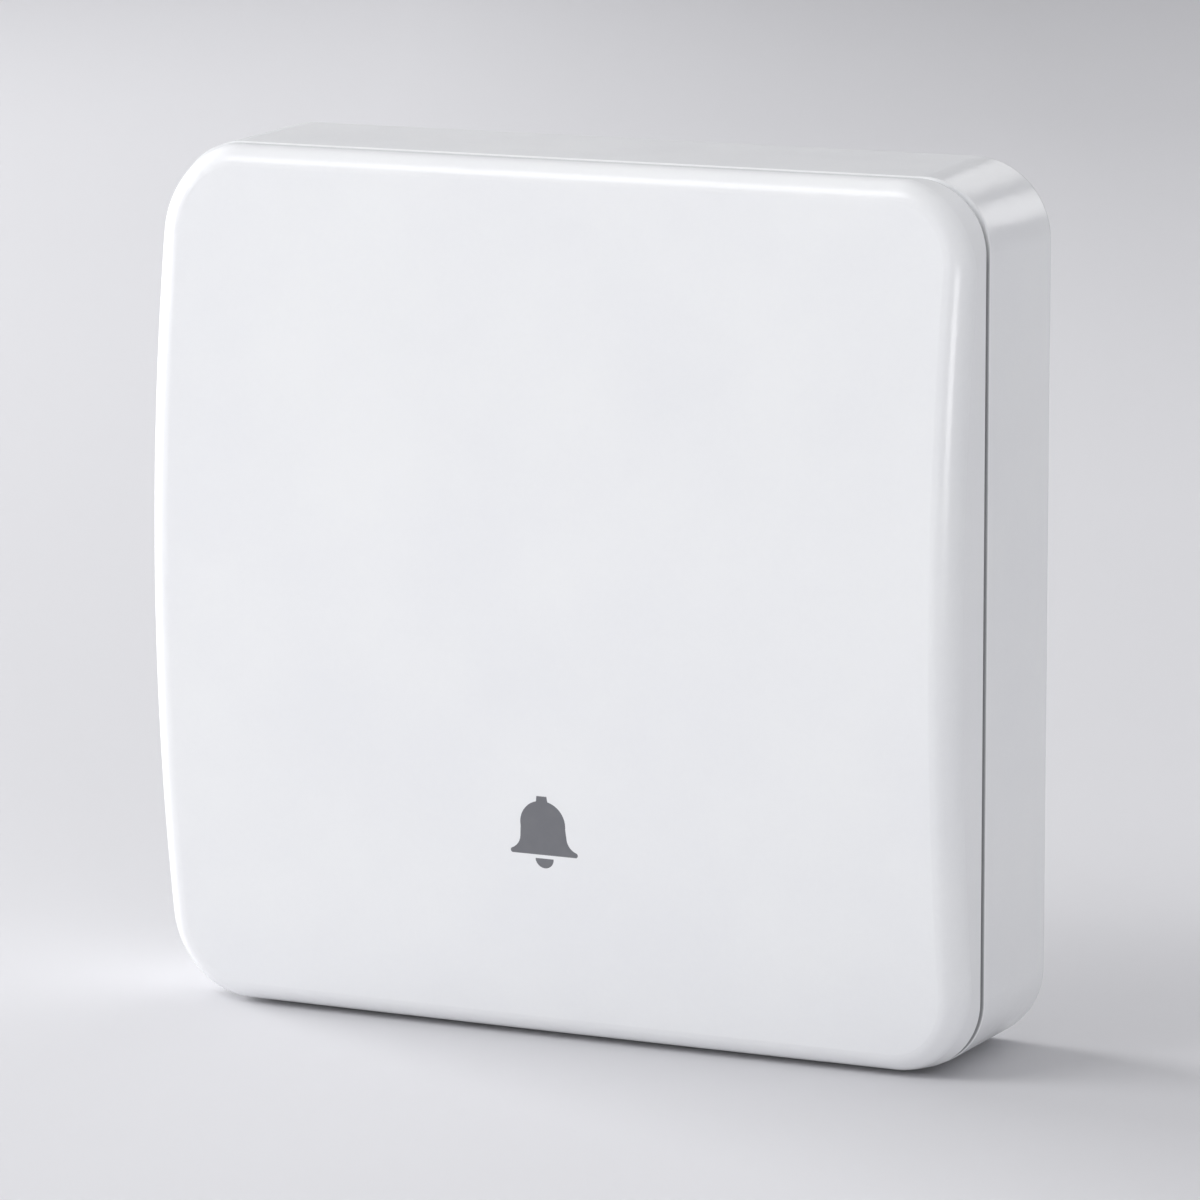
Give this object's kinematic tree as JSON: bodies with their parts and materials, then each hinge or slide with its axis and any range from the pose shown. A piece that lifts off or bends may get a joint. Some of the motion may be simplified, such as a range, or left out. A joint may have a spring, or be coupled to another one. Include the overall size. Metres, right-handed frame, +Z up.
{
  "type": "doorbell push button",
  "caption": "Square wall-mounted bell push: a plain box housing whose crowned front plate hinges at its top edge, springs outward and works a leaf switch behind a bell mark.",
  "frame": {"origin": "centre of the wall face, in the plane that lies on the wall", "axes": "+Y into the wall, so the front plate faces -Y; +Z up; +X to the right seen from the front"},
  "size_m": [0.0868, 0.0239, 0.0868],
  "materials": {
    "housing_white": "satin moulded plastic",
    "seal_rubber": "soft matt rubber",
    "grommet_rubber": "matt rubber",
    "chassis_plastic": "plain moulded plastic",
    "zinc_steel": "zinc plated",
    "plate_white": "smooth satin gloss plastic",
    "mark_grey": "flat grey inlay",
    "switch_dark": "matt moulded plastic",
    "switch_grey": "matt moulded plastic",
    "plunger_white": "smooth acetal",
    "strip_brass": "plain stamped brass",
    "contact_metal": "plated contact face",
    "leaf_bronze": "rolled spring bronze",
    "block_black": "moulded phenolic",
    "pin_steel": "ground steel",
    "spring_steel": "drawn spring wire",
    "pad_rubber": "matt rubber",
    "clamp_brass": "nickel free brass"
  },
  "bodies": {
    "housing": {"rear_housing": "housing_white", "wall_seal": "seal_rubber", "cable_grommet": "grommet_rubber", "chassis": "chassis_plastic", "fixing_screws": "zinc_steel", "switch_base": "switch_dark", "switch_cap": "switch_grey", "switch_screws": "zinc_steel", "common_strip": "strip_brass", "contact_strip": "strip_brass", "fixed_contact": "contact_metal", "terminal_block": "block_black", "terminal_screws": "zinc_steel", "hinge_pin_left": "pin_steel", "hinge_pin_right": "pin_steel", "return_spring_left": "spring_steel", "return_spring_right": "spring_steel", "stop_pad_left": "pad_rubber", "stop_pad_right": "pad_rubber", "terminal_clamp_left": "clamp_brass", "terminal_clamp_right": "clamp_brass"},
    "press_plate": {"press_plate": "plate_white", "bell_mark": "mark_grey"},
    "plunger": {"switch_plunger": "plunger_white"},
    "leaf": {"contact_leaf": "leaf_bronze", "leaf_contact": "contact_metal"}
  },
  "joints": [
    {"name": "plate_hinge", "type": "hinge", "parent": "housing", "child": "press_plate", "pos_m": [0, -0.01423, 0.037], "axis": [1, 0, 0], "range_deg": [0, 0.4297], "stiffness_Nm_per_rad": 4, "springref_deg": -2.01, "deforming": ["return_spring_left", "return_spring_right"]},
    {"name": "plunger_slide", "type": "slide", "parent": "housing", "child": "plunger", "axis": [0, 1, 0], "range_m": [0, 0.00045]},
    {"name": "leaf_flex", "type": "hinge", "parent": "housing", "child": "leaf", "pos_m": [-0.0066, -0.01564, -0.0218], "axis": [0, 0, 1], "range_deg": [0, 3.85]}
  ],
  "couplings": [
    {"joint": "plunger_slide", "follows": "plate_hinge", "m_per_rad": 0.0588},
    {"joint": "leaf_flex", "follows": "plate_hinge", "ratio": 8.9091}
  ]
}
